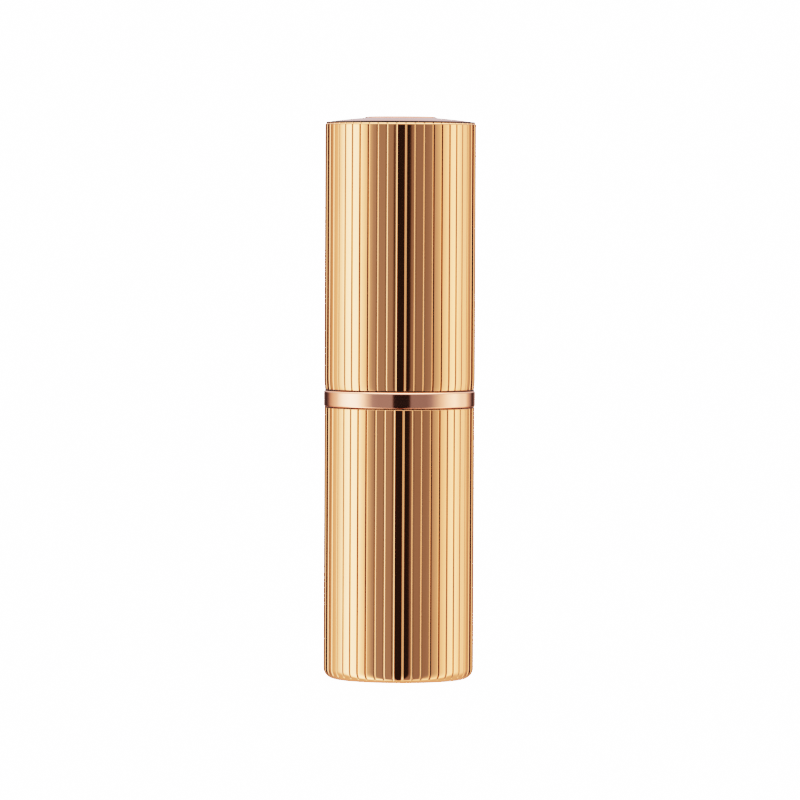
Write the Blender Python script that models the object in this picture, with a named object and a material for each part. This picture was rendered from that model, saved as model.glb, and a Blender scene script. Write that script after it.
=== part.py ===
"""A twist-up lipstick case: fluted base, plain collar band and fluted pull-off cap over a raising mechanism.

Metres, +Z up. The origin is the centre of the face that the case stands on, and every round piece has the
Z axis as its own axis. Four groups of pieces move against each other:

- the base: shell, insert, weight, label, slotted inner tube and its friction ring;
- the twist group, which turns about Z on the base: sleeve, spiral tube, collar core and collar band;
- the carrier, which climbs along Z: a cup with two lugs, and the lipstick bullet that stands in it;
- the cap, which pulls off along Z: shell, top plate with its centre disc, and the liner that grips the sleeve.

The cup's lugs reach through the straight slots of the inner tube into two helical grooves in the spiral tube.
"""

from math import asin, atan, atan2, cos, pi, radians, sin, sqrt, tau

import bmesh
import bpy
from mathutils import Matrix, Vector

# Outside of the case
CASE_RADIUS = 0.0103  # over the flutes of the cap
BASE_STEP = 0.00005  # the base is this much slimmer than the cap
BAND_PROUD = 0.00004  # the collar band stands out this much
BASE_HEIGHT = 0.037
BAND_HEIGHT = 0.0022
CAP_LENGTH = 0.0363  # the fluted wall of the cap
FLUTE_COUNT = 50
FLUTE_DEPTH = 0.0001
GROOVE_WIDTH = 0.00032  # between two flutes
CAP_TURN = radians(0.9)  # how far the cap's flutes are turned from the base's

# Rounded edges
FOOT_ROUND = 0.0015  # where the base's wall turns into its foot
FLUTE_RUNOUT = 0.5  # share of that turn at which the flutes have faded out
MOUTH_ROUND = 0.0001  # top edge of the base
CAP_LIP_INSET = 0.00011  # the cap's lower edge closes in this much
CAP_LIP_HEIGHT = 0.0011
CAP_SHOULDER = 0.00022  # top edge of the cap's wall
BAND_ROUND = 0.00045  # lower edge of the band
BAND_CHAMFER = 0.0002  # upper edge of the band

# Walls
SHELL_WALL = 0.00045  # under a groove
BASE_FLOOR = 0.001
LINER_WALL = 0.00065
LINER_ROOF = 0.001
SLEEVE_WALL = 0.00035
SPIRAL_WALL = 0.0009
INNER_TUBE_WALL = 0.00055
CUP_WALL = 0.0004
CUP_FLOOR = 0.0008
BAND_WALL = 0.0005
BAND_TOP = 0.0004

# Fits
GLUE_GAP = 0.0001  # between pieces that are pressed or glued together
RUNNING_GAP = 0.00015  # between pieces that slide or turn in each other
SEAT_GAP = 0.00015  # between faces that rest on each other
GRIP_RIB_HEIGHT = 0.00012
GRIP_RIB_WIDTH = 0.0009
GRIP_RIB_COUNT = 6

# Cap top
PLATE_INSET = 0.0002  # the plate is this much smaller in radius than the case
PLATE_EDGE = 0.00004  # upright part of its edge
PLATE_EDGE_WIDTH = 0.00025  # slope between that edge and the dome
PLATE_EDGE_RISE = 0.00003  # of that slope
DOME_RADIUS = 0.067
SPIGOT_LENGTH = 0.0008
DISC_RADIUS = 0.0049
DISC_THICKNESS = 0.00035

# Mechanism
STROKE = 0.0175  # how far the bullet climbs
CLIMB_PER_TURN = 0.014
CUP_HEIGHT = 0.011
LUG_RADIUS = 0.0009
LUG_HEIGHT = 0.002  # above the cup's underside
LUG_GAP = 0.0002  # around a lug in its slot and its groove
CAM_DEPTH = 0.00055  # of the helical grooves
TIP_CLEARANCE = 0.0018  # from the raised bullet to the cap's liner
TIP_RECESS = 0.0008  # of the lowered bullet below the sleeve's rim
RIM_RECESS = 0.00025  # of the raised cup below the sleeve's rim
TIP_SLANT = radians(50)
TIP_CROWN = 0.0024  # height of the bullet's rounded end, most of which the slanted face cuts away
TIP_RIDGE_INSET = 0.0012  # from the bullet's back to its highest edge, where that face starts

# Foot of the inner tube and its seat
TUBE_FLOOR = 0.001
VENT_RADIUS = 0.0015  # of the hole in that floor, and of the one in the cup's
FLANGE_THICKNESS = 0.0015
PLUG_RADIUS = 0.007
PLUG_WALL = 0.0011
PLUG_LENGTH = 0.005
SOCKET_WALL = 0.00085
SHELF_THICKNESS = 0.001
RING_THICKNESS = 0.0004
RING_BED = 0.0004  # depth of its groove in the tube
SLEEVE_ROUND = 0.00025

# Foot of the base
WEIGHT_HEIGHT = 0.008
WEIGHT_CHAMFER = 0.0004
LABEL_RADIUS = 0.00725
LABEL_THICKNESS = 0.0002
LABEL_RECESS = 0.0004

ROUND_STEPS = 36  # sides of a plain round piece
HELIX_STEPS = 32  # per turn
ARC_STEPS = 4
CROWN_STEPS = 5
MERGE = 1e-7

# Radii, from the wall of the cap inwards
cap_bore = CASE_RADIUS - FLUTE_DEPTH - SHELL_WALL
cap_liner_radius = cap_bore - GLUE_GAP
cap_liner_bore = cap_liner_radius - LINER_WALL
sleeve_radius = cap_liner_bore - GRIP_RIB_HEIGHT - RUNNING_GAP
sleeve_bore = sleeve_radius - SLEEVE_WALL
spiral_radius = sleeve_bore - GLUE_GAP
spiral_bore = spiral_radius - SPIRAL_WALL
tube_radius = spiral_bore - RUNNING_GAP
tube_bore = tube_radius - INNER_TUBE_WALL
cup_radius = tube_bore - RUNNING_GAP
cup_bore = cup_radius - CUP_WALL
bullet_radius = cup_bore - GLUE_GAP

base_radius = CASE_RADIUS - BASE_STEP
base_bore = base_radius - FLUTE_DEPTH - SHELL_WALL
insert_radius = base_bore - GLUE_GAP
insert_bore = sleeve_radius + RUNNING_GAP
band_radius = CASE_RADIUS + BAND_PROUD
band_bore = sleeve_radius + GLUE_GAP
plate_radius = CASE_RADIUS - PLATE_INSET
recess_radius = LABEL_RADIUS + SEAT_GAP

# Heights, from the foot up to the cap's roof, and from there down through the mechanism
weight_foot = BASE_FLOOR + GLUE_GAP
insert_foot = weight_foot + WEIGHT_HEIGHT + SEAT_GAP
insert_top = BASE_HEIGHT - SEAT_GAP
band_foot = BASE_HEIGHT + SEAT_GAP
band_top = band_foot + BAND_HEIGHT
cap_foot = band_top + SEAT_GAP
plate_foot = cap_foot + CAP_LENGTH + GLUE_GAP / 2
liner_foot = cap_foot + 2 * SEAT_GAP
liner_top = plate_foot - SPIGOT_LENGTH - SEAT_GAP
liner_roof = liner_top - LINER_ROOF

tip_raised = liner_roof - TIP_CLEARANCE
tip_lowered = tip_raised - STROKE
sleeve_top = tip_lowered + TIP_RECESS
cup_foot = sleeve_top - RIM_RECESS - STROKE - CUP_HEIGHT
lug_lowered = cup_foot + LUG_HEIGHT
bullet_foot = cup_foot + CUP_FLOOR + GLUE_GAP
tube_floor_top = cup_foot - 2 * SEAT_GAP
flange_top = tube_floor_top - TUBE_FLOOR
plug_foot = flange_top - FLANGE_THICKNESS - PLUG_LENGTH
shelf_top = flange_top - FLANGE_THICKNESS - SEAT_GAP
sleeve_foot = flange_top + SEAT_GAP
spiral_top = sleeve_top - SLEEVE_WALL - SEAT_GAP


def clear_scene():
    """Start from an empty scene."""
    for thing in list(bpy.data.objects):
        bpy.data.objects.remove(thing, do_unlink=True)


def linear(hex_colour):
    """The linear red, green, blue and alpha of an sRGB colour written as six hex digits."""
    shares = [int(hex_colour[at : at + 2], 16) / 255 for at in (0, 2, 4)]
    return [share / 12.92 if share <= 0.04045 else ((share + 0.055) / 1.055) ** 2.4 for share in shares] + [1.0]


def finish(name, hex_colour, roughness, metallic=0.0):
    """A plain material with one colour."""
    material = bpy.data.materials.new(name)
    material.use_nodes = True
    shader = material.node_tree.nodes["Principled BSDF"]
    shader.inputs["Base Color"].default_value = linear(hex_colour)
    shader.inputs["Roughness"].default_value = roughness
    shader.inputs["Metallic"].default_value = metallic
    return material


def group_empty(name, height):
    """An empty on the Z axis, which carries the pieces that move together."""
    empty = bpy.data.objects.new(name, None)
    empty.location.z = height
    bpy.context.scene.collection.objects.link(empty)
    return empty


def add_object(name, bm, foot, group, material):
    """Make a mesh object whose own origin is on the Z axis at height foot, and hang it on its group."""
    bmesh.ops.remove_doubles(bm, verts=bm.verts, dist=MERGE)
    bmesh.ops.recalc_face_normals(bm, faces=bm.faces)
    mesh = bpy.data.meshes.new(name)
    bm.to_mesh(mesh)
    bm.free()
    mesh.shade_smooth()
    mesh.set_sharp_from_angle(angle=radians(30))
    thing = bpy.data.objects.new(name, mesh)
    if material:
        mesh.materials.append(material)
    bpy.context.scene.collection.objects.link(thing)
    if group:
        thing.parent = group
        thing.location.z = foot - group.location.z
    else:
        thing.location.z = foot
    return thing


def spin_outline(bm, points, steps):
    """Spin a chain of points about Z. A chain that starts on the axis ends on it, and any other closes."""
    pairs = list(zip(points, points[1:]))
    if points[0].co.x > 0.0:
        pairs.append((points[-1], points[0]))
    edges = [bm.edges.new(pair) for pair in pairs]
    bmesh.ops.spin(
        bm, geom=points + edges, cent=(0, 0, 0), axis=(0, 0, 1), angle=tau, steps=steps, use_merge=True
    )


def turned(outline):
    """Turn a plain round piece from its (radius, height) outline."""
    bm = bmesh.new()
    points = [bm.verts.new((radius, 0.0, height)) for radius, height in outline]
    spin_outline(bm, points, ROUND_STEPS)
    return bm


def fluted(outline, turn):
    """Turn a piece from its (radius, height, groove depth) outline, with three columns of points to a flute.

    The first column of each flute is pressed in by the groove depth, and the other two close up to its edges.
    """
    bm = bmesh.new()
    depth = bm.verts.layers.float.new("groove_depth")
    points = []
    for radius, height, groove in outline:
        point = bm.verts.new((radius, 0.0, height))
        point[depth] = groove
        points.append(point)
    spin_outline(bm, points, 3 * FLUTE_COUNT)
    between = tau / (3 * FLUTE_COUNT)
    swing = between - asin(GROOVE_WIDTH / 2 / CASE_RADIUS)
    columns = ([], [], [])
    for point in bm.verts:
        columns[round(atan2(point.co.y, point.co.x) / between) % 3].append(point)
    for point in columns[0]:
        if point[depth] > 0.0:
            point.co.xy *= 1 - point[depth] / point.co.xy.length
    for column, swung in ((columns[1], turn - swing), (columns[2], turn + swing), (columns[0], turn)):
        bmesh.ops.rotate(bm, verts=column, cent=(0, 0, 0), matrix=Matrix.Rotation(swung, 3, "Z"))
    return bm


def arc(centre, radius, start, end, steps=ARC_STEPS):
    """Points on a circle in the outline's plane, from one angle to another, both ends included."""
    turns = [start + (end - start) * step / steps for step in range(steps + 1)]
    return [(centre[0] + radius * cos(turn), centre[1] + radius * sin(turn)) for turn in turns]


def cutter(name, bm, foot, group):
    """A solid that only shapes another piece."""
    solid = add_object(name, bm, foot, group, None)
    solid.hide_render = True
    solid.display_type = "WIRE"
    return solid


def combine(piece, other, operation):
    """Cut another solid out of a piece, or weld it on."""
    modifier = piece.modifiers.new(other.name, "BOOLEAN")
    modifier.operation = operation
    modifier.solver = "EXACT"
    modifier.object = other


def flute_at_front():
    """The turn that puts the middle of a flute at the front, from a first groove on the X axis."""
    return (radians(90) + pi / FLUTE_COUNT) % (tau / FLUTE_COUNT)


def base_shell(group, metal):
    """Fluted cup of the base. The flutes fade out where the wall rounds into the foot."""
    foot = arc((base_radius - FOOT_ROUND, FOOT_ROUND), FOOT_ROUND, 0.0, -radians(90))
    outline = [
        (0.0, BASE_FLOOR, 0.0),
        (base_bore, BASE_FLOOR, 0.0),
        (base_bore, BASE_HEIGHT, 0.0),
        (base_radius - MOUTH_ROUND, BASE_HEIGHT, 0.0),
        (base_radius, BASE_HEIGHT - 3 * MOUTH_ROUND, FLUTE_DEPTH),
    ]
    for step, (radius, height) in enumerate(foot):
        faded = min(1.0, step / ARC_STEPS / FLUTE_RUNOUT)
        outline.append((radius, height, FLUTE_DEPTH * (1 - faded**2)))
    outline += [(recess_radius, 0.0, 0.0), (recess_radius, LABEL_RECESS, 0.0), (0.0, LABEL_RECESS, 0.0)]
    return add_object("base_shell", fluted(outline, flute_at_front()), 0.0, group, metal)


def base_weight(group, metal):
    """Slug that fills the foot of the base and keeps the case upright."""
    outline = [
        (0.0, 0.0),
        (insert_radius - WEIGHT_CHAMFER, 0.0),
        (insert_radius, WEIGHT_CHAMFER),
        (insert_radius, WEIGHT_HEIGHT - WEIGHT_CHAMFER),
        (insert_radius - WEIGHT_CHAMFER, WEIGHT_HEIGHT),
        (0.0, WEIGHT_HEIGHT),
    ]
    return add_object("base_weight", turned(outline), weight_foot, group, metal)


def bottom_label(group, paper):
    """Blank disc stuck in the recess under the base, clear of what the case stands on."""
    outline = [
        (0.0, 0.0),
        (LABEL_RADIUS, 0.0),
        (LABEL_RADIUS, LABEL_THICKNESS),
        (0.0, LABEL_THICKNESS),
    ]
    foot = LABEL_RECESS - GLUE_GAP - LABEL_THICKNESS
    return add_object("bottom_label", turned(outline), foot, group, paper)


def base_insert(group, plastic):
    """Moulded insert of the base: a wide bore for the mechanism, and a socket for the inner tube's plug."""
    shelf = shelf_top - insert_foot
    socket = plug_foot - SEAT_GAP - insert_foot
    socket_bore = PLUG_RADIUS + GLUE_GAP
    top = insert_top - insert_foot
    outline = [
        (insert_bore, 0.0),
        (insert_radius, 0.0),
        (insert_radius, top),
        (insert_bore, top),
        (insert_bore, shelf),
        (socket_bore, shelf),
        (socket_bore, socket),
        (socket_bore + SOCKET_WALL, socket),
        (socket_bore + SOCKET_WALL, shelf - SHELF_THICKNESS),
        (insert_bore, shelf - SHELF_THICKNESS),
    ]
    return add_object("base_insert", turned(outline), insert_foot, group, plastic)


def inner_tube(group, plastic):
    """Slotted tube that keeps the cup from turning, with a flange and a plug that hold it in the base."""
    flange = PLUG_LENGTH + FLANGE_THICKNESS
    floor = flange + TUBE_FLOOR
    bed = flange + (TUBE_FLOOR - RING_THICKNESS - GLUE_GAP) / 2
    bed_top = bed + RING_THICKNESS + GLUE_GAP
    top = spiral_top - plug_foot
    outline = [
        (PLUG_RADIUS - PLUG_WALL, 0.0),
        (PLUG_RADIUS, 0.0),
        (PLUG_RADIUS, PLUG_LENGTH),
        (insert_bore - RUNNING_GAP, PLUG_LENGTH),
        (insert_bore - RUNNING_GAP, flange),
        (tube_radius, flange),
        (tube_radius, bed),
        (tube_radius - RING_BED, bed),
        (tube_radius - RING_BED, bed_top),
        (tube_radius, bed_top),
        (tube_radius, top),
        (tube_bore, top),
        (tube_bore, floor),
        (VENT_RADIUS, floor),
        (VENT_RADIUS, flange),
        (PLUG_RADIUS - PLUG_WALL, flange),
    ]
    tube = add_object("inner_tube", turned(outline), plug_foot, group, plastic)
    reach = LUG_RADIUS + LUG_GAP
    slot_height = STROKE + 2 * reach
    size = Matrix.Diagonal((2 * spiral_radius, 2 * reach, slot_height, 1.0))
    bm = bmesh.new()
    bmesh.ops.create_cube(bm, size=1.0, matrix=size)
    slots = cutter("slot_cutter", bm, lug_lowered + STROKE / 2, group)
    combine(tube, slots, "DIFFERENCE")
    return tube


def friction_ring(group, rubber):
    """Soft ring in a groove of the inner tube, which gives the twist its drag."""
    half = RING_THICKNESS / 2
    middle = tube_radius - RING_BED + GLUE_GAP / 2 + half
    outline = arc((middle, half), half, 0.0, tau, 6)[:-1]
    foot = flange_top + (TUBE_FLOOR - RING_THICKNESS) / 2
    return add_object("friction_ring", turned(outline), foot, group, rubber)


def helix_cutter(name, start_turn, group):
    """Square-sided thread along the path of one lug in the spiral tube, a little past both of its ends."""
    per_radian = CLIMB_PER_TURN / tau
    middle_radius = spiral_bore + CAM_DEPTH / 2
    slope = atan(per_radian / middle_radius)
    half_height = (LUG_RADIUS + LUG_GAP) / cos(slope)
    overrun = (LUG_RADIUS + 2 * LUG_GAP) / middle_radius
    sweep = STROKE / per_radian + 2 * overrun
    steps = round(HELIX_STEPS * sweep / tau)
    bm = bmesh.new()
    corners = [
        (spiral_bore - RUNNING_GAP, 0.0, -half_height),
        (spiral_bore + CAM_DEPTH, 0.0, -half_height),
        (spiral_bore + CAM_DEPTH, 0.0, half_height),
        (spiral_bore - RUNNING_GAP, 0.0, half_height),
    ]
    face = bm.faces.new([bm.verts.new(corner) for corner in corners])
    bmesh.ops.spin(
        bm,
        geom=[face],
        cent=(0, 0, 0),
        axis=(0, 0, 1),
        dvec=(0.0, 0.0, per_radian * sweep / steps),
        angle=-sweep,
        steps=steps,
    )
    bmesh.ops.rotate(bm, verts=bm.verts, cent=(0, 0, 0), matrix=Matrix.Rotation(start_turn + overrun, 3, "Z"))
    return cutter(name, bm, lug_lowered - per_radian * overrun, group)


def spiral_tube(group, plastic):
    """Cam of the mechanism. Each groove climbs the stroke while the tube turns past a lug."""
    height = spiral_top - sleeve_foot
    outline = [(spiral_bore, 0.0), (spiral_radius, 0.0), (spiral_radius, height), (spiral_bore, height)]
    tube = add_object("spiral_tube", turned(outline), sleeve_foot, group, plastic)
    for side, start_turn in (("right", 0.0), ("left", pi)):
        combine(tube, helix_cutter(f"helix_cutter_{side}", start_turn, group), "DIFFERENCE")
    return tube


def sleeve(group, metal):
    """Polished tube that shows when the cap is off. Its rim turns in over the spiral and inner tubes."""
    top = sleeve_top - sleeve_foot
    rim = arc((sleeve_radius - SLEEVE_ROUND, top - SLEEVE_ROUND), SLEEVE_ROUND, 0.0, radians(90), 2)
    outline = [
        (sleeve_bore, 0.0),
        (sleeve_radius, 0.0),
        *rim,
        (tube_bore, top),
        (tube_bore, top - SLEEVE_WALL),
        (sleeve_bore, top - SLEEVE_WALL),
    ]
    return add_object("sleeve", turned(outline), sleeve_foot, group, metal)


def collar_band(group, metal):
    """Plain band between base and cap, with a flange over the collar core."""
    edge = arc((band_radius - BAND_ROUND, BAND_ROUND), BAND_ROUND, -radians(90), 0.0, 3)
    outline = [
        (band_radius - BAND_WALL, 0.0),
        *edge,
        (band_radius, BAND_HEIGHT - BAND_CHAMFER),
        (band_radius - BAND_CHAMFER, BAND_HEIGHT),
        (band_bore, BAND_HEIGHT),
        (band_bore, BAND_HEIGHT - BAND_TOP),
        (band_radius - BAND_WALL, BAND_HEIGHT - BAND_TOP),
    ]
    return add_object("collar_band", turned(outline), band_foot, group, metal)


def collar_core(group, plastic):
    """Ring that carries the band on the sleeve."""
    outer = band_radius - BAND_WALL - GLUE_GAP
    height = BAND_HEIGHT - BAND_TOP - GLUE_GAP
    outline = [(band_bore, 0.0), (outer, 0.0), (outer, height), (band_bore, height)]
    return add_object("collar_core", turned(outline), band_foot, group, plastic)


def carrier_cup(group, plastic):
    """Cup that holds the bullet, with two lugs that stand out through the inner tube's slots."""
    outline = [
        (VENT_RADIUS, 0.0),
        (cup_radius, 0.0),
        (cup_radius, CUP_HEIGHT),
        (cup_bore, CUP_HEIGHT),
        (cup_bore, CUP_FLOOR),
        (VENT_RADIUS, CUP_FLOOR),
    ]
    cup = add_object("carrier_cup", turned(outline), cup_foot, group, plastic)
    root = cup_radius - CUP_WALL / 2
    tip = spiral_bore + CAM_DEPTH - RUNNING_GAP
    bm = bmesh.new()
    for turn in (0.0, pi):
        place = Matrix.Rotation(turn, 4, "Z") @ Matrix.Translation(((root + tip) / 2, 0.0, 0.0))
        upright = Matrix.Rotation(radians(90), 4, "Y")
        bmesh.ops.create_cone(
            bm,
            cap_ends=True,
            segments=16,
            radius1=LUG_RADIUS,
            radius2=LUG_RADIUS,
            depth=tip - root,
            matrix=place @ upright,
        )
    combine(cup, cutter("lug_pair", bm, lug_lowered, group), "UNION")
    return cup


def lipstick_bullet(group, pomade):
    """Stick of lipstick with a rounded end and a slanted face towards the front. Its ridge is the tip."""
    ridge = bullet_radius - TIP_RIDGE_INSET
    ridge_height = tip_lowered - bullet_foot
    shoulder = ridge_height - TIP_CROWN * sqrt(1 - (ridge / bullet_radius) ** 2)
    turns = [radians(90) * step / CROWN_STEPS for step in range(CROWN_STEPS)]
    crown = [(bullet_radius * cos(turn), shoulder + TIP_CROWN * sin(turn)) for turn in turns]
    bm = turned([(0.0, 0.0), (bullet_radius, 0.0), *crown, (0.0, shoulder + TIP_CROWN)])
    bmesh.ops.remove_doubles(bm, verts=bm.verts, dist=MERGE)
    slope = Vector((0.0, -sin(TIP_SLANT), cos(TIP_SLANT)))
    edge = Vector((0.0, ridge, ridge_height))
    everything = bm.verts[:] + bm.edges[:] + bm.faces[:]
    cut = bmesh.ops.bisect_plane(bm, geom=everything, plane_co=edge, plane_no=slope, clear_outer=True)
    rim = [item for item in cut["geom_cut"] if isinstance(item, bmesh.types.BMEdge)]
    bmesh.ops.contextual_create(bm, geom=rim)
    return add_object("lipstick_bullet", bm, bullet_foot, group, pomade)


def cap_shell(group, metal):
    """Fluted wall of the cap, open at both ends."""
    shoulder = CAP_LENGTH - CAP_SHOULDER
    diagonal = CAP_SHOULDER * (1 - sqrt(0.5))
    outline = [
        (cap_bore, 0.0, 0.0),
        (CASE_RADIUS - CAP_LIP_INSET, 0.0, FLUTE_DEPTH),
        (CASE_RADIUS, CAP_LIP_HEIGHT, FLUTE_DEPTH),
        (CASE_RADIUS, shoulder, FLUTE_DEPTH),
        (CASE_RADIUS - diagonal, CAP_LENGTH - diagonal, FLUTE_DEPTH / 2),
        (CASE_RADIUS - CAP_SHOULDER, CAP_LENGTH, 0.0),
        (cap_bore, CAP_LENGTH, 0.0),
    ]
    return add_object("cap_shell", fluted(outline, flute_at_front() + CAP_TURN), cap_foot, group, metal)


def dome_drop(radius):
    """How far the domed plate lies below its peak."""
    return DOME_RADIUS - sqrt(DOME_RADIUS**2 - radius**2)


def cap_top(group, metal, disc_metal):
    """Domed plate that closes the cap, with a spigot below, and the flat disc let into its middle."""
    dome_edge = plate_radius - PLATE_EDGE_WIDTH
    peak = PLATE_EDGE + PLATE_EDGE_RISE + dome_drop(dome_edge)
    bed_radius = DISC_RADIUS + GLUE_GAP / 2
    bed = peak - DISC_THICKNESS - GLUE_GAP
    steps = 3
    radii = [dome_edge + (bed_radius - dome_edge) * step / steps for step in range(steps + 1)]
    outline = [
        (0.0, -SPIGOT_LENGTH),
        (cap_liner_radius, -SPIGOT_LENGTH),
        (cap_liner_radius, 0.0),
        (plate_radius, 0.0),
        (plate_radius, PLATE_EDGE),
        *[(radius, peak - dome_drop(radius)) for radius in radii],
        (bed_radius, bed),
        (0.0, bed),
    ]
    add_object("cap_top_plate", turned(outline), plate_foot, group, metal)
    disc = [
        (0.0, 0.0),
        (DISC_RADIUS, 0.0),
        (DISC_RADIUS, DISC_THICKNESS - GLUE_GAP / 2),
        (DISC_RADIUS - GLUE_GAP / 2, DISC_THICKNESS),
        (0.0, DISC_THICKNESS),
    ]
    add_object("cap_top_disc", turned(disc), plate_foot + peak - DISC_THICKNESS, group, disc_metal)


def cap_liner(group, plastic):
    """Moulded lining of the cap. Its upright ribs grip the sleeve."""
    roof = liner_roof - liner_foot
    top = liner_top - liner_foot
    outline = [
        (0.0, roof),
        (cap_liner_bore, roof),
        (cap_liner_bore, 0.0),
        (cap_liner_radius, 0.0),
        (cap_liner_radius, top),
        (0.0, top),
    ]
    liner = add_object("cap_liner", turned(outline), liner_foot, group, plastic)
    rib_height = sleeve_top - liner_foot - 2 * SLEEVE_ROUND
    rib_depth = GRIP_RIB_HEIGHT + LINER_WALL / 2
    place = Matrix.Translation((cap_liner_bore - GRIP_RIB_HEIGHT + rib_depth / 2, 0.0, rib_height / 2))
    size = Matrix.Diagonal((rib_depth, GRIP_RIB_WIDTH, rib_height, 1.0))
    bm = bmesh.new()
    bmesh.ops.create_cube(bm, size=1.0, matrix=place @ size)
    bmesh.ops.spin(
        bm,
        geom=bm.verts[:] + bm.edges[:] + bm.faces[:],
        cent=(0, 0, 0),
        axis=(0, 0, 1),
        angle=tau,
        steps=GRIP_RIB_COUNT,
        use_duplicate=True,
    )
    ribs = cutter("grip_ribs", bm, liner_foot + SLEEVE_ROUND, group)
    combine(liner, ribs, "UNION")
    return liner


def build():
    """Make every piece, hung on the empty of its group."""
    clear_scene()
    copper = finish("copper_anodised_aluminium", "DE9A68", 0.16, 1.0)
    rose = finish("rose_anodised_aluminium", "E2AA8C", 0.14, 1.0)
    steel = finish("turned_steel", "8E8E8C", 0.4, 1.0)
    black = finish("black_moulding", "1B1917", 0.45)
    white = finish("natural_moulding", "E9E6DE", 0.42)
    rubber = finish("soft_ring_rubber", "9FA3A4", 0.6)
    paper = finish("blank_label_film", "EFEDE8", 0.55)
    pomade = finish("lipstick_pomade", "9C1F2B", 0.35)

    base_group = group_empty("base_group", 0.0)
    twist_group = group_empty("twist_group", band_foot)
    carrier_group = group_empty("carrier_group", cup_foot)
    cap_group = group_empty("cap_group", cap_foot)

    base_shell(base_group, copper)
    base_weight(base_group, steel)
    bottom_label(base_group, paper)
    base_insert(base_group, black)
    inner_tube(base_group, white)
    friction_ring(base_group, rubber)

    spiral_tube(twist_group, white)
    sleeve(twist_group, rose)
    collar_band(twist_group, rose)
    collar_core(twist_group, black)

    carrier_cup(carrier_group, white)
    lipstick_bullet(carrier_group, pomade)

    cap_shell(cap_group, copper)
    cap_top(cap_group, copper, rose)
    cap_liner(cap_group, black)


build()
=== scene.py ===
# %% [markdown]
# # A fluted lipstick case in copper-coloured metal
#
# A twist-up lipstick case is a small assembly. A base holds a slotted tube, a sleeve and a spiral tube
# turn on it and drive a little cup with the lipstick up and down, and a cap grips the sleeve by friction.
# The moving model with plain shapes is loaded here as a fixed frame. Each plain shape is then covered by
# a finer one that sits in the same place and rides on the same moving body, so the finished look opens
# and twists exactly as the frame does.

from math import asin, atan2, cos, degrees, pi, radians, sin, sqrt, tau

import bmesh
import bpy
from mathutils import Matrix, Vector


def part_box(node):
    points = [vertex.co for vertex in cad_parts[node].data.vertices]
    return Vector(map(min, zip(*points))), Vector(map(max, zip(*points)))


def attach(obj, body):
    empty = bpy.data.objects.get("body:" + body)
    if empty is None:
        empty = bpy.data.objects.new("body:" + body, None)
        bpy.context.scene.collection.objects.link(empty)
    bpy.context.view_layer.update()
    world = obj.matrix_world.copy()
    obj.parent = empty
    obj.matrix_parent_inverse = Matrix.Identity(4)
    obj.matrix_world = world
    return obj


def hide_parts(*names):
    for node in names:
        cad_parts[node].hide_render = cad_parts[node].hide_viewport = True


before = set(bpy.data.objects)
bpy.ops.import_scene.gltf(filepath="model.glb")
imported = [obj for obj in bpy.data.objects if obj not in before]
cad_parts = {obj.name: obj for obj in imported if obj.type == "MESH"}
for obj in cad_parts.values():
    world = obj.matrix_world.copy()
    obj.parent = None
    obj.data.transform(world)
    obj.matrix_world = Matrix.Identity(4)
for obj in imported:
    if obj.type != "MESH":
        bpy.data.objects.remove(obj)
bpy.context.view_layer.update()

# %% [markdown]
# ## Sizes
#
# Heights are read from the frame, so a finer piece always ends where its plain one does. Radii are
# written down once, from the wall of the case inwards. Everything is in metres, and one millimetre is a
# handy unit to have.

# %% Heights and radii
MM = 0.001


def span(node):
    """The lowest and highest point of a plain piece."""
    low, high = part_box(node)
    return low[2], high[2]


base_foot, base_top = span("base_shell")
band_foot, band_top = span("collar_band")
cap_foot, cap_top = span("cap_shell")
plate_foot, plate_top = span("cap_top_plate")
disc_foot, disc_top = span("cap_top_disc")
liner_foot, liner_top = span("cap_liner")
sleeve_foot, sleeve_top = span("sleeve")

CAP_RADIUS = 10.3 * MM
BASE_RADIUS = 10.25 * MM
BAND_RADIUS = 10.34 * MM
PLATE_RADIUS = 10.1 * MM
DISC_RADIUS = 4.9 * MM
CAP_BORE = 9.72 * MM
LINER_RADIUS = 9.62 * MM
LINER_BORE = 8.97 * MM
SLEEVE_RADIUS = 8.7 * MM
TUBE_RADIUS = 7.2 * MM
TUBE_BORE = 6.65 * MM
CUP_RADIUS = 6.5 * MM
CUP_BORE = 6.1 * MM
BULLET_RADIUS = 6.0 * MM
print("case", round(base_top / MM, 2), "mm to the band,", round(disc_top / MM, 2), "mm to the top")

# %% [markdown]
# ## Two helpers for finishes
#
# A paint chart or a colour picker gives a colour in sRGB, but a shader wants linear light, so one
# function turns a hex value into what a socket takes. The other adds any node at all: its own settings by
# name, and its inputs either as values or as the outputs of other nodes, which it links.

# %% Colours and nodes


def linear(hex_colour):
    """Linear red, green, blue and alpha of an sRGB colour written as six hex digits."""
    shares = [int(hex_colour[at : at + 2], 16) / 255 for at in (0, 2, 4)]
    light = [share / 12.92 if share <= 0.04045 else ((share + 0.055) / 1.055) ** 2.4 for share in shares]
    return light + [1.0]


def node(tree, kind, inputs=None, stops=None, **settings):
    """Add a node with its settings, its inputs as values or links, and a colour ramp's stops if any."""
    made = tree.nodes.new(kind)
    for name, value in settings.items():
        setattr(made, name, value)
    for socket, value in (inputs or {}).items():
        if isinstance(value, bpy.types.NodeSocket):
            tree.links.new(value, made.inputs[socket])
        else:
            made.inputs[socket].default_value = value
    if stops:
        elements = made.color_ramp.elements
        while len(elements) < len(stops):
            elements.new(1.0)
        for element, (place, colour) in zip(elements, stops):
            element.position = place
            element.color = colour
    return made


# %% [markdown]
# ## Camera
#
# The case is seen from about eighty centimetres away, almost level, with a long lens, so the two sides
# stay parallel and the rings of the collar bow only slightly. A real product shot is rarely perfectly
# level either: the camera is rolled by a quarter of a degree.

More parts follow.
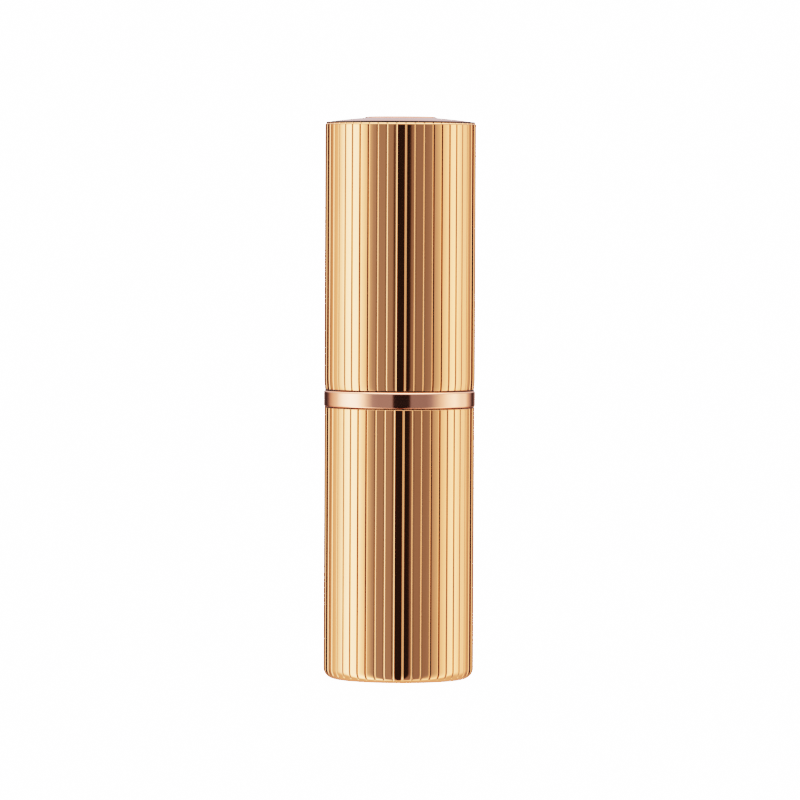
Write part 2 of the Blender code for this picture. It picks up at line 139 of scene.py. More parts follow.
# %% Place the camera
CAMERA_DISTANCE = 0.81
CAMERA_HEIGHT = 64.5 * MM
CAMERA_AZIMUTH = radians(0.4)
CAMERA_ROLL = radians(0.27)
CAMERA_LENS = 267.5
AIM = Vector((0.07 * MM, 0.0, 38.02 * MM))

camera_data = bpy.data.cameras.new("studio_camera")
camera_data.sensor_width = 36.0
camera_data.lens = CAMERA_LENS
camera_data.clip_start = 0.01
camera = bpy.data.objects.new("studio_camera", camera_data)
aside = CAMERA_DISTANCE * sin(CAMERA_AZIMUTH)
ahead = CAMERA_DISTANCE * cos(CAMERA_AZIMUTH)
stand = Vector((aside, -ahead, CAMERA_HEIGHT))
look = (AIM - stand).to_track_quat("-Z", "Y").to_matrix().to_4x4()
camera.matrix_world = Matrix.Translation(stand) @ look @ Matrix.Rotation(CAMERA_ROLL, 4, "Z")
bpy.context.scene.collection.objects.link(camera)
bpy.context.scene.camera = camera
bpy.context.scene.view_settings.view_transform = "Filmic"
bpy.context.scene.view_settings.look = "High Contrast"
print("camera looks down by", round(degrees(asin((stand.z - AIM.z) / CAMERA_DISTANCE)), 2), "degrees")

# %% [markdown]
# ## Studio light
#
# Polished metal has hardly any look of its own: it shows the room. A photographer therefore builds the
# room, with a soft light on each side, a narrow black flag in front and dim grey between them, and every
# flute picks its own strip of it. Real cards would stand in the way when the camera moves round the case,
# so the room is built in the world instead, as a ramp of brightness round the horizon. Above it the room
# brightens towards a soft ceiling light, and what the camera sees directly is plain white paper.

# %% Brightness round the case
# The tint of a softbox, of its warm rim, and of the dim daylight between.
WHITE = (1.0, 1.0, 1.0)
WARM = (1.0, 0.82, 0.74)
DIM = (1.0, 1.1, 1.35)
# Degrees round the case from straight in front, positive to the right, the brightness there, and its tint.
ROOM = (
    (-180, 0.9, WARM),
    (-168, 0.9, WARM),
    (-161, 0.12, DIM),
    (-149, 0.05, DIM),
    (-138, 0.16, DIM),
    (-127, 0.8, WARM),
    (-110, 1.6, WARM),
    (-95, 3.3, WHITE),
    (-80, 4.4, WHITE),
    (-68, 3.9, WHITE),
    (-59, 3.0, WARM),
    (-50, 1.1, WHITE),
    (-41, 0.42, DIM),
    (-32, 0.36, DIM),
    (-10.5, 0.36, DIM),
    (-9, 0.03, DIM),
    (16, 0.03, DIM),
    (17.5, 0.29, DIM),
    (42, 0.29, DIM),
    (50, 0.38, DIM),
    (60, 0.87, WHITE),
    (70, 1.85, WARM),
    (82, 3.1, WARM),
    (93, 3.9, WARM),
    (108, 2.4, WARM),
    (120, 2.3, WARM),
    (129, 0.95, WARM),
    (137, 0.35, DIM),
    (145, 0.05, DIM),
    (156, 0.12, DIM),
    (166, 0.9, WARM),
    (180, 0.9, WARM),
)
BRIGHTEST = 6.0
print("room with", len(ROOM), "stops, brightest", max(light for _, light, _ in ROOM))


# %% Ramp round the horizon
def lit(light, tint):
    """A ramp's colour, as a share of the brightest light."""
    return [light * share / BRIGHTEST for share in tint] + [1.0]


world = bpy.data.worlds.new("studio_room")
world.use_nodes = True
bpy.context.scene.world = world
tree = world.node_tree
tree.nodes.clear()
direction = node(tree, "ShaderNodeTexCoord").outputs["Generated"]
parts = node(tree, "ShaderNodeSeparateXYZ", {0: direction})
toward = node(tree, "ShaderNodeMath", {0: parts.outputs["Y"], 1: -1.0}, operation="MULTIPLY")
bearing = node(tree, "ShaderNodeMath", {0: parts.outputs["X"], 1: toward.outputs[0]}, operation="ARCTAN2")
round_room = node(tree, "ShaderNodeMapRange", {"Value": bearing.outputs[0], "From Min": -pi, "From Max": pi})
strips = node(
    tree,
    "ShaderNodeValToRGB",
    {0: round_room.outputs[0]},
    stops=[(turn / 360 + 0.5, lit(light, tint)) for turn, light, tint in ROOM],
)

# %% [markdown]
# Two more lights are laid over the strips. Above the horizon the room turns into a ceiling that grows
# brighter towards the top, and low down behind the case lies the lit table, which draws the bright line
# round the foot.

# %% Ceiling and table
# How far up, as a sine, how bright the ceiling is there, and its tint.
CEILING = ((0.05, 0.72, DIM), (0.3, 0.8, DIM), (0.6, 2.6, WHITE), (0.9, 5.0, WHITE))
# All sines: how far up the strips turn into ceiling, and how far down and how far back the table fades in.
CEILING_START = (sin(radians(2)), sin(radians(12)))
TABLE_START = (-sin(radians(10)), -sin(radians(40)))
TABLE_EDGE = (-0.05, 0.2)
TABLE_LIGHT = 1.1
ceiling = node(
    tree,
    "ShaderNodeValToRGB",
    {0: parts.outputs["Z"]},
    stops=[(height, lit(light, tint)) for height, light, tint in CEILING],
)
raised = node(
    tree,
    "ShaderNodeMapRange",
    {"Value": parts.outputs["Z"], "From Min": CEILING_START[0], "From Max": CEILING_START[1]},
    interpolation_type="SMOOTHSTEP",
)
sunk = node(
    tree,
    "ShaderNodeMapRange",
    {"Value": parts.outputs["Z"], "From Min": TABLE_START[0], "From Max": TABLE_START[1]},
    interpolation_type="SMOOTHSTEP",
)
behind = node(
    tree,
    "ShaderNodeMapRange",
    {"Value": parts.outputs["Y"], "From Min": TABLE_EDGE[0], "From Max": TABLE_EDGE[1]},
    interpolation_type="SMOOTHSTEP",
)
on_table = node(tree, "ShaderNodeMath", {0: sunk.outputs[0], 1: behind.outputs[0]}, operation="MULTIPLY")
below = node(
    tree,
    "ShaderNodeMix",
    {0: on_table.outputs[0], 6: strips.outputs["Color"], 7: lit(TABLE_LIGHT, WARM)},
    data_type="RGBA",
)
room = node(
    tree,
    "ShaderNodeMix",
    {0: raised.outputs[0], 6: below.outputs[2], 7: ceiling.outputs["Color"]},
    data_type="RGBA",
)

# %% White paper for the camera
PAPER = 12.0
seen_lit = node(tree, "ShaderNodeBackground", {"Color": room.outputs[2], "Strength": BRIGHTEST})
seen_paper = node(tree, "ShaderNodeBackground", {"Color": (1.0, 1.0, 1.0, 1.0), "Strength": PAPER})
straight = node(tree, "ShaderNodeLightPath").outputs["Is Camera Ray"]
either = node(tree, "ShaderNodeMixShader", {0: straight, 1: seen_lit.outputs[0], 2: seen_paper.outputs[0]})
node(tree, "ShaderNodeOutputWorld", {"Surface": either.outputs[0]})
print("paper is", PAPER / BRIGHTEST, "times as bright as the brightest strip could be")

# %% [markdown]
# ## Floor
#
# The case stands on plain white card. Card scatters light, so it is a rough white surface with a faint
# tooth. It glows a little, to stay as white as the paper behind it, and it is kept out of the light that
# falls on the case, where the room's own lower half already plays the lit table.
#
# Every finish starts in the same way: a material with its shader, the numbers that are the same all over
# it, and the place on the piece, which its patterns read. One function does that.

# %% Start a finish
def new_finish(name, constants):
    """A new material with its constants set, its node tree and shader, and the place its patterns read."""
    material = bpy.data.materials.new(name)
    material.use_nodes = True
    tree = material.node_tree
    shader = tree.nodes["Principled BSDF"]
    for socket, value in constants.items():
        shader.inputs[socket].default_value = value
    place = node(tree, "ShaderNodeTexCoord").outputs["Object"]
    print("finish:", name)
    return material, tree, shader, place


# %% White card to stand on
CARD_RADIUS = 1.4
CARD_GAP = 0.02 * MM
card, tree, shader, place = new_finish(
    "white_card",
    {
        "Base Color": linear("F4F3F1"),
        "Roughness": 0.9,
        "Emission Color": linear("FFFFFF"),
        "Emission Strength": 9.0,
    },
)
tooth = node(tree, "ShaderNodeTexNoise", {"Vector": place, "Scale": 900.0, "Detail": 3.0})
relief = node(tree, "ShaderNodeBump", {"Height": tooth.outputs[0], "Strength": 0.3, "Distance": 0.1 * MM})
tree.links.new(relief.outputs[0], shader.inputs["Normal"])

bm = bmesh.new()
bmesh.ops.create_circle(bm, cap_ends=True, segments=96, radius=CARD_RADIUS)
bmesh.ops.translate(bm, verts=bm.verts, vec=(0.0, 0.0, base_foot - CARD_GAP))
mesh = bpy.data.meshes.new("floor_card")
bm.to_mesh(mesh)
bm.free()
mesh.materials.append(card)
floor = bpy.data.objects.new("floor_card", mesh)
bpy.context.scene.collection.objects.link(floor)
floor.visible_glossy = False
floor.visible_diffuse = False

# %% [markdown]
# ## Copper-coloured metal of the flutes
#
# The shells are aluminium, drawn from sheet, rolled with flutes, polished bright and anodised, then dyed
# a warm copper. The dye sits in a clear hard layer, so the metal keeps its mirror. Three things keep it
# from looking like a computer's mirror: polishing leaves fine marks along the flutes, the sheet is never
# perfectly straight, and the grooves, which the polishing wheel hardly reaches, stay duller. The grooves
# also get a painted shade that turns their colour greyer and darker.
# The marks are some 0.02 mm apart on the real thing, and are drawn at 0.2 mm so that they show.

# %% Copper anodised aluminium
# How far the painted shade pulls the colour at the bottom of a groove from the flute's tone to a greyer,
# darker brown.
GROOVE_SHADE = 0.85
copper, tree, shader, place = new_finish(
    "bright_copper_anodising",
    {"Metallic": 1.0, "Specular Tint": linear("FFE6DA")},
)
groove = node(tree, "ShaderNodeAttribute", attribute_name="groove").outputs["Fac"]
along = node(tree, "ShaderNodeMapping", {"Vector": place, "Scale": (1 / MM, 1 / MM, 0.02 / MM)})
marks = node(tree, "ShaderNodeTexNoise", {"Vector": along.outputs[0], "Scale": 5.0, "Detail": 4.0})
cloudy = node(tree, "ShaderNodeTexNoise", {"Vector": place, "Scale": 0.12 / MM, "Detail": 2.0})
tone = node(
    tree,
    "ShaderNodeMix",
    {0: cloudy.outputs[0], 6: linear("FAA976"), 7: linear("F7A46F")},
    data_type="RGBA",
)
# Painted shade: the deeper the groove, the more its colour is darkened towards a greyer brown.
groove_shade = node(tree, "ShaderNodeMath", {0: groove, 1: GROOVE_SHADE}, operation="MULTIPLY")
tone_with_groove_shade = node(
    tree, "ShaderNodeMix", {0: groove_shade.outputs[0], 6: tone.outputs[2], 7: linear("B08862")}, data_type="RGBA"
)
tree.links.new(tone_with_groove_shade.outputs[2], shader.inputs["Base Color"])
dull = node(tree, "ShaderNodeMath", {0: groove, 1: 0.05, 2: 0.055}, operation="MULTIPLY_ADD")
gloss = node(
    tree,
    "ShaderNodeMath",
    {0: marks.outputs[0], 1: 0.06, 2: dull.outputs[0]},
    operation="MULTIPLY_ADD",
)
tree.links.new(gloss.outputs[0], shader.inputs["Roughness"])
sheet = node(tree, "ShaderNodeTexNoise", {"Vector": place, "Scale": 0.16 / MM, "Detail": 1.0})
wavy = node(tree, "ShaderNodeBump", {"Height": sheet.outputs[0], "Strength": 1.0, "Distance": 0.004 * MM})
brushed = node(
    tree,
    "ShaderNodeBump",
    {"Height": marks.outputs[0], "Strength": 1.0, "Distance": 0.0012 * MM, "Normal": wavy.outputs[0]},
)
tree.links.new(brushed.outputs[0], shader.inputs["Normal"])

# %% [markdown]
# ## Rose-coloured metal of the band, sleeve and disc
#
# The plain turned pieces are dyed a shade pinker. They were spun while they were polished, so their marks
# run round the axis: the pattern is stretched flat instead of upright. On the flat disc the same marks
# are rings, which need the distance from the axis, so the pattern reads both the height and that
# distance.

# %% Rose anodised aluminium
rose, tree, shader, place = new_finish(
    "polished_rose_anodising",
    {"Metallic": 1.0, "Specular Tint": linear("FFE8DE")},
)
parts = node(tree, "ShaderNodeSeparateXYZ", {0: place})
flat = node(tree, "ShaderNodeVectorMath", {0: place, 1: (1.0, 1.0, 0.0)}, operation="MULTIPLY")
away = node(tree, "ShaderNodeVectorMath", {0: flat.outputs[0]}, operation="LENGTH")
turning = node(
    tree,
    "ShaderNodeCombineXYZ",
    {"X": away.outputs["Value"], "Y": parts.outputs["Z"], "Z": 0.0},
)
rings = node(tree, "ShaderNodeTexNoise", {"Vector": turning.outputs[0], "Scale": 6 / MM, "Detail": 4.0})
cloudy = node(tree, "ShaderNodeTexNoise", {"Vector": place, "Scale": 0.15 / MM, "Detail": 2.0})
tone = node(
    tree,
    "ShaderNodeMix",
    {0: cloudy.outputs[0], 6: linear("FAAD8B"), 7: linear("F8A985")},
    data_type="RGBA",
)
tree.links.new(tone.outputs[2], shader.inputs["Base Color"])
gloss = node(tree, "ShaderNodeMath", {0: rings.outputs[0], 1: 0.08, 2: 0.06}, operation="MULTIPLY_ADD")
tree.links.new(gloss.outputs[0], shader.inputs["Roughness"])
spun_marks = node(
    tree,
    "ShaderNodeBump",
    {"Height": rings.outputs[0], "Strength": 1.0, "Distance": 0.001 * MM},
)
tree.links.new(spun_marks.outputs[0], shader.inputs["Normal"])

# %% [markdown]
# ## Turned steel of the weight
#
# The slug in the foot is mild steel from a bar, cut on a lathe and zinc plated. The tool leaves a fine
# screw-like groove, here 0.12 mm a turn, on the side and across the ends, and the plating leaves faint
# cloudy patches.

# %% Zinc-plated turned steel
TOOL_FEED = 0.12 * MM
steel, tree, shader, place = new_finish("zinc_plated_turned_steel", {"Metallic": 1.0})
parts = node(tree, "ShaderNodeSeparateXYZ", {0: place})
flat = node(tree, "ShaderNodeVectorMath", {0: place, 1: (1.0, 1.0, 0.0)}, operation="MULTIPLY")
away = node(tree, "ShaderNodeVectorMath", {0: flat.outputs[0]}, operation="LENGTH")
travel = node(tree, "ShaderNodeMath", {0: away.outputs["Value"], 1: parts.outputs["Z"]}, operation="ADD")
cut = node(tree, "ShaderNodeMath", {0: travel.outputs[0], 1: tau / TOOL_FEED}, operation="MULTIPLY")
tool = node(tree, "ShaderNodeMath", {0: cut.outputs[0]}, operation="SINE")
patches = node(tree, "ShaderNodeTexNoise", {"Vector": place, "Scale": 0.35 / MM, "Detail": 5.0})
plate_tone = node(
    tree,
    "ShaderNodeMix",
    {0: patches.outputs[0], 6: linear("A9ADB0"), 7: linear("8F9293")},
    data_type="RGBA",
)
tree.links.new(plate_tone.outputs[2], shader.inputs["Base Color"])
gloss = node(tree, "ShaderNodeMath", {0: patches.outputs[0], 1: 0.2, 2: 0.26}, operation="MULTIPLY_ADD")
tree.links.new(gloss.outputs[0], shader.inputs["Roughness"])
cut_relief = node(
    tree,
    "ShaderNodeBump",
    {"Height": tool.outputs[0], "Strength": 1.0, "Distance": 0.003 * MM},
)
tree.links.new(cut_relief.outputs[0], shader.inputs["Normal"])

# %% [markdown]
# ## Black mouldings
#
# The linings that nobody is meant to notice are black ABS. The mould was spark-eroded, which prints a
# fine even grain of about 0.15 mm on the plastic and turns its gloss into a satin. The sheen is tinted a
# little warm: only thin edges of the black are seen, and they lie close between warm metal walls.

# %% Satin black ABS
black, tree, shader, place = new_finish(
    "spark_grained_black_abs",
    {"IOR": 1.53, "Specular Tint": linear("F2B890")},
)
grain = node(tree, "ShaderNodeTexNoise", {"Vector": place, "Scale": 6.5 / MM, "Detail": 2.0})
flow = node(tree, "ShaderNodeTexNoise", {"Vector": place, "Scale": 0.2 / MM, "Detail": 2.0})
tone = node(
    tree, "ShaderNodeMix", {0: flow.outputs[0], 6: linear("191817"), 7: linear("211F1E")}, data_type="RGBA"
)
tree.links.new(tone.outputs[2], shader.inputs["Base Color"])
gloss = node(tree, "ShaderNodeMath", {0: grain.outputs[0], 1: 0.2, 2: 0.34}, operation="MULTIPLY_ADD")
tree.links.new(gloss.outputs[0], shader.inputs["Roughness"])
eroded = node(tree, "ShaderNodeBump", {"Height": grain.outputs[0], "Strength": 0.8, "Distance": 0.006 * MM})
tree.links.new(eroded.outputs[0], shader.inputs["Normal"])

# %% [markdown]
# ## Natural mouldings
#
# The working parts are acetal without pigment, because it slides on itself without grease. It is milky:
# light goes in a fraction of a millimetre before it comes back out, which softens every edge, so a little
# subsurface scattering does more for it than any texture. Long moulded tubes also show faint drag lines
# where they left the mould.

# %% Milky acetal
natural, tree, shader, place = new_finish(
    "milky_acetal_moulding",
    {
        "IOR": 1.48,
        "Subsurface Weight": 0.35,
        "Subsurface Radius": (1.0, 0.9, 0.8),
        "Subsurface Scale": 0.4 * MM,
    },
)
along = node(tree, "ShaderNodeMapping", {"Vector": place, "Scale": (1 / MM, 1 / MM, 0.05 / MM)})
drag = node(tree, "ShaderNodeTexNoise", {"Vector": along.outputs[0], "Scale": 3.0, "Detail": 3.0})
milk = node(tree, "ShaderNodeTexNoise", {"Vector": place, "Scale": 0.3 / MM, "Detail": 2.0})
tone = node(
    tree, "ShaderNodeMix", {0: milk.outputs[0], 6: linear("EDEAE2"), 7: linear("E4E0D6")}, data_type="RGBA"
)
tree.links.new(tone.outputs[2], shader.inputs["Base Color"])
gloss = node(tree, "ShaderNodeMath", {0: drag.outputs[0], 1: 0.18, 2: 0.3}, operation="MULTIPLY_ADD")
tree.links.new(gloss.outputs[0], shader.inputs["Roughness"])
lines = node(tree, "ShaderNodeBump", {"Height": drag.outputs[0], "Strength": 0.7, "Distance": 0.006 * MM})
tree.links.new(lines.outputs[0], shader.inputs["Normal"])

# %% [markdown]
# ## Soft ring, label film and lipstick
#
# Three small finishes are left. The drag ring is matt grey silicone with a dusty bloom. The label is
# white polypropylene film with the faint mottle of the paper it was rolled on. The lipstick is a wax and
# oil mix that was poured warm into a metal mould: it is glossy where it touched the mould, light sinks
# into it, and tiny bubbles and sweat beads leave soft dimples about half a millimetre across.

# %% Silicone
rubber, tree, shader, place = new_finish("grey_silicone", {"IOR": 1.43})
bloom = node(tree, "ShaderNodeTexNoise", {"Vector": place, "Scale": 2.5 / MM, "Detail": 4.0})
tone = node(
    tree, "ShaderNodeMix", {0: bloom.outputs[0], 6: linear("8F9496"), 7: linear("AEB2B3")}, data_type="RGBA"
)
tree.links.new(tone.outputs[2], shader.inputs["Base Color"])
gloss = node(tree, "ShaderNodeMath", {0: bloom.outputs[0], 1: 0.2, 2: 0.5}, operation="MULTIPLY_ADD")
tree.links.new(gloss.outputs[0], shader.inputs["Roughness"])
dust = node(tree, "ShaderNodeBump", {"Height": bloom.outputs[0], "Strength": 0.5, "Distance": 0.01 * MM})
tree.links.new(dust.outputs[0], shader.inputs["Normal"])

# %% Label film
film, tree, shader, place = new_finish("white_label_film", {"IOR": 1.49})
mottle = node(tree, "ShaderNodeTexNoise", {"Vector": place, "Scale": 1.2 / MM, "Detail": 5.0})
tone = node(
    tree, "ShaderNodeMix", {0: mottle.outputs[0], 6: linear("F2F1EE"), 7: linear("E9E7E2")}, data_type="RGBA"
)
tree.links.new(tone.outputs[2], shader.inputs["Base Color"])
gloss = node(tree, "ShaderNodeMath", {0: mottle.outputs[0], 1: 0.25, 2: 0.3}, operation="MULTIPLY_ADD")
tree.links.new(gloss.outputs[0], shader.inputs["Roughness"])
pressed = node(tree, "ShaderNodeBump", {"Height": mottle.outputs[0], "Strength": 0.6, "Distance": 0.012 * MM})
tree.links.new(pressed.outputs[0], shader.inputs["Normal"])

# %% Lipstick wax
wax, tree, shader, place = new_finish(
    "poured_lipstick_wax",
    {
        "IOR": 1.45,
        "Subsurface Weight": 0.25,
        "Subsurface Radius": (1.0, 0.25, 0.2),
        "Subsurface Scale": 0.8 * MM,
        "Coat Weight": 0.25,
        "Coat Roughness": 0.18,
    },
)
pigment = node(tree, "ShaderNodeTexNoise", {"Vector": place, "Scale": 0.4 / MM, "Detail": 4.0})
tone = node(
    tree, "ShaderNodeMix", {0: pigment.outputs[0], 6: linear("8C1520"), 7: linear("991C26")}, data_type="RGBA"
)
tree.links.new(tone.outputs[2], shader.inputs["Base Color"])
beads = node(tree, "ShaderNodeTexVoronoi", {"Vector": place, "Scale": 1.8 / MM}, feature="SMOOTH_F1")
sweat = node(
    tree,
    "ShaderNodeMapRange",
    {"Value": beads.outputs["Distance"], "From Max": 0.35},
    interpolation_type="SMOOTHSTEP",
)
gloss = node(tree, "ShaderNodeMath", {0: pigment.outputs[0], 1: 0.2, 2: 0.24}, operation="MULTIPLY_ADD")
tree.links.new(gloss.outputs[0], shader.inputs["Roughness"])
dimples = node(tree, "ShaderNodeBump", {"Height": sweat.outputs[0], "Strength": 0.5, "Distance": 0.012 * MM})
tree.links.new(dimples.outputs[0], shader.inputs["Normal"])

# %% [markdown]
# ## Turning round pieces
#
# Nearly every part of the case is round, so each one is drawn as half its cross-section and spun about
# the axis, as on a lathe. Edges are never truly sharp: a corner of the drawing can be given a radius, and
# bevelling that vertex of the bare outline before the spin rounds the whole ring at once. That is cheaper
# and cleaner than bevelling rings of a finished piece, and it works the same for a hair-fine edge and for
# the big round of the foot.
#
# Smooth shading blends the directions of neighbouring faces. Next to a long straight wall that blend
# would creep along the whole wall and bend its reflections, so every long straight gets a holding point
# close to each end.

# %% Draw an outline
COARSE_ROUND = 0.2 * MM
BIG_ROUND = 0.8 * MM
HOLD = 0.12 * MM
MICRON = 0.001 * MM


def outline(corners):
    """A bare outline in X-Z from (radius, height, rounding), closed unless it starts on the axis."""
    bm = bmesh.new()
    rounding = bm.verts.layers.int.new("rounding")
    points = []
    for radius, height, edge_round in corners:
        point = bm.verts.new((radius, 0.0, height))
        point[rounding] = round(edge_round / MICRON)
        points.append(point)
    pairs = list(zip(points, points[1:]))
    if corners[0][0] > 0.0:
        pairs.append((points[-1], points[0]))
    for pair in pairs:
        bm.edges.new(pair)
    for size in sorted({point[rounding] for point in points} - {0}):
        reach = size * MICRON
        steps = 12 if reach > BIG_ROUND else 5 if reach > COARSE_ROUND else 3
        bmesh.ops.bevel(
            bm,
            geom=[point for point in bm.verts if point[rounding] == size],
            offset=reach,
            offset_type="OFFSET",
            affect="VERTICES",
            segments=steps,
            profile=0.5,
            material=-1,
        )
    for edge in [edge for edge in bm.edges if edge.calc_length() > 4 * HOLD]:
        start, end = edge.verts
        _, held = bmesh.utils.edge_split(edge, start, HOLD / edge.calc_length())
        rest = next(part for part in held.link_edges if end in part.verts)
        bmesh.utils.edge_split(rest, end, HOLD / rest.calc_length())
    return bm


# %% Spin it
# Steps round the axis: small pieces inside, ordinary ones, and those whose mirror finish shows every facet.
SMALL_STEPS = 96
ROUND_STEPS = 128
MIRROR_STEPS = 192
BAND_STEPS = 256


def spun(bm, steps=ROUND_STEPS):
    """Spin an outline all the way round the Z axis, and close it."""
    bmesh.ops.spin(
        bm,
        geom=bm.verts[:] + bm.edges[:],
        cent=(0, 0, 0),
        axis=(0, 0, 1),
        angle=tau,
        steps=steps,
        use_merge=True,
    )
    bmesh.ops.remove_doubles(bm, verts=bm.verts, dist=1e-7)
    bmesh.ops.recalc_face_normals(bm, faces=bm.faces)
    return bm


# %% [markdown]
# A finished piece is handed to the frame in three steps: it rides on a moving body, it stands for one
# plain piece, which is hidden, and it gets its finish as a material.

# %% Hand a piece to the frame
REAL_EDGE = radians(40)


def finish_piece(name, bm, body, stands_for, material):
    """Make the object, smooth it except at real edges, and tie it to the frame for a plain piece, if any."""
    mesh = bpy.data.meshes.new(name)
    bm.to_mesh(mesh)
    bm.free()
    mesh.shade_smooth()
    mesh.set_sharp_from_angle(angle=REAL_EDGE)
    mesh.materials.append(material)
    piece = bpy.data.objects.new(name, mesh)
    bpy.context.scene.collection.objects.link(piece)
    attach(piece, body)
    if stands_for:
        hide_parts(stands_for)
    print(name, "has", len(mesh.polygons), "faces")
    return piece


def add_part(bm, part):
    """Move a part that was made on its own into the mesh of its piece."""
    passing = bpy.data.meshes.new("part")
    part.to_mesh(passing)
    part.free()
    bm.from_mesh(passing)
    bpy.data.meshes.remove(passing)


# %% [markdown]
# ## Flutes
#
# Fifty broad flutes run up the base and the cap, with grooves a quarter of a millimetre wide between
# them. On the real shell they are rolled into the sheet, so the top of each flute is still part of the
# cylinder and only the grooves are pressed in. The mesh copies that: the outline is spun with fourteen
# columns of points to a flute, thirteen of them are drawn together at the groove, where the surface
# bends, and are pressed in to a rounded trough. The one that is left stands alone in the middle of the
# flute, where the surface is plain.

# %% Columns of one flute
FLUTE_COUNT = 50
FLUTE_DEPTH = 0.08 * MM
GROOVE_HALF = 0.135 * MM
# How far a column stands from the middle of its groove, in half widths, and its share of the depth.
TROUGH = ((0.0, 1.0), (0.1, 0.96), (0.2, 0.86), (0.88, 0.14), (1.0, 0.055), (1.12, 0.01), (1.5, 0.0))


def flute_columns():
    """Angle and share of the depth of each column, from the middle of one groove to just before the next."""
    pitch = tau / FLUTE_COUNT
    rising = [(apart * GROOVE_HALF / CAP_RADIUS, share) for apart, share in TROUGH]
    falling = [(pitch - angle, share) for angle, share in reversed(rising[1:])]
    return rising + [(pitch / 2, 0.0)] + falling


columns = flute_columns()
print(len(columns), "columns to a flute,", len(columns) * FLUTE_COUNT, "round the case")

# %% [markdown]
# The base's grooves stand so that the middle of a flute faces the front. The cap is a separate piece that
# can sit at any turn, and here it sits 0.9 degrees round from the base, so the flutes do not quite line
# up at the band.

# %% Press the grooves in
FRONT_TURN = (radians(90) + pi / FLUTE_COUNT) % (tau / FLUTE_COUNT)
CAP_TURN = radians(0.9)


def fluted(bm, turn, depth_share):
    """Spin an outline and press the grooves in, as deep as depth_share says for a radius and a height."""
    count = len(columns)
    spun(bm, FLUTE_COUNT * count)
    groove = bm.verts.layers.float.new("groove")
    between = tau / (FLUTE_COUNT * count)
    groups = [[] for _ in columns]
    for point in bm.verts:
        groups[round(atan2(point.co.y, point.co.x) / between) % count].append(point)
    for index, (angle, share) in enumerate(columns):
        swing = Matrix.Rotation(turn + angle - index * between, 3, "Z")
        bmesh.ops.rotate(bm, verts=groups[index], cent=(0, 0, 0), matrix=swing)
        for point in groups[index]:
            radius = point.co.xy.length
            pressed_in = share * depth_share(radius, point.co.z)
            if pressed_in > 0.0:
                point.co.xy *= 1 - pressed_in * FLUTE_DEPTH / radius
                point[groove] = pressed_in
    return bm


# %% [markdown]
# ## Base
#
# The base is a cup. Its grooves run right through the upper rim, which they leave slightly scalloped, and
# at the bottom they follow the big round of the foot for half of its quarter turn and end within a few
# degrees, so a plain bright ring is left where the case stands. Under the foot a shallow recess takes the
# label.

# %% Fluted base
FOOT_ROUND = 1.5 * MM
FLUTE_END = (radians(37), radians(45))
# How far in from the outside a rim still shows the grooves.
GROOVED_RIM = 0.3 * MM


def smooth_step(value, start, end):
    """Zero before start, one after end, and an even swing between them."""
    share = min(1.0, max(0.0, (value - start) / (end - start)))
    return share * share * (3 - 2 * share)


def base_depth(radius, height):
    """Grooves everywhere on the outside, down to where they end on the foot's round."""
    if radius < BASE_RADIUS - GROOVED_RIM and height > FOOT_ROUND:
        return 0.0
    if height > FOOT_ROUND:
        return 1.0
    if radius < BASE_RADIUS - FOOT_ROUND:
        return 0.0
    down = atan2(FOOT_ROUND - height, radius - BASE_RADIUS + FOOT_ROUND)
    return 1.0 - smooth_step(down, *FLUTE_END)


BASE_BORE = 9.67 * MM
RECESS_RADIUS = 7.4 * MM
RECESS_DEPTH = 0.4 * MM
FLOOR_TOP = 1.0 * MM
bm = outline(
    [
        (0.0, FLOOR_TOP, 0.0),
        (BASE_BORE, FLOOR_TOP, 0.0),
        (BASE_BORE, base_top, 0.06 * MM),
        (BASE_RADIUS, base_top, 0.03 * MM),
        (BASE_RADIUS, base_foot, FOOT_ROUND),
        (RECESS_RADIUS, base_foot, 0.12 * MM),
        (RECESS_RADIUS, base_foot + RECESS_DEPTH, 0.08 * MM),
        (0.0, base_foot + RECESS_DEPTH, 0.0),
    ]
)
fluted(bm, FRONT_TURN, base_depth)
finish_piece("fluted_base", bm, "base", "base_shell", copper)

# %% [markdown]
# ## Cap
#
# The cap's wall is a tube, fluted like the base. Its lower lip closes in by a tenth of a millimetre so
# that it slides over the sleeve without showing a raw edge, and its upper edge rolls over into a small
# bright shoulder that the grooves cut into scallops.

# %% Fluted cap
LIP_INSET = 0.11 * MM
LIP_HEIGHT = 1.1 * MM
SEAM_DROP = 0.1 * MM
wall_top = cap_top - SEAM_DROP


def cap_depth(radius, height):
    """Grooves over the whole outside of the cap."""
    return 1.0 if radius > CAP_RADIUS - GROOVED_RIM else 0.0


bm = outline(
    [
        (CAP_BORE, cap_foot, 0.05 * MM),
        (CAP_RADIUS - LIP_INSET, cap_foot, 0.08 * MM),
        (CAP_RADIUS, cap_foot + LIP_HEIGHT, 0.6 * MM),
        (CAP_RADIUS, wall_top, 0.24 * MM),
        (CAP_BORE, wall_top, 0.05 * MM),
    ]
)
fluted(bm, FRONT_TURN + CAP_TURN, cap_depth)
finish_piece("fluted_cap", bm, "cap", "cap_shell", copper)

# %% [markdown]
# ## Top of the cap
#
# A slightly domed plate closes the cap, and a flat disc is let into its middle. The dome is part of a
# very large ball, so only its height at a few radii is needed. Where the plate's edge meets the shell,
# the black lacquer that seals it stands out as a fine dark line.

# %% Domed plate
DOME_RADIUS = 67 * MM
SPIGOT_LENGTH = 0.8 * MM
BED_RADIUS = 4.92 * MM
BED_GAP = 0.05 * MM
FINE_EDGE = 0.02 * MM
DOME_STEPS = 9


def dome_height(radius):
    """Height of the plate's upper face at a radius."""
    return plate_peak - DOME_RADIUS + sqrt(DOME_RADIUS**2 - radius**2)


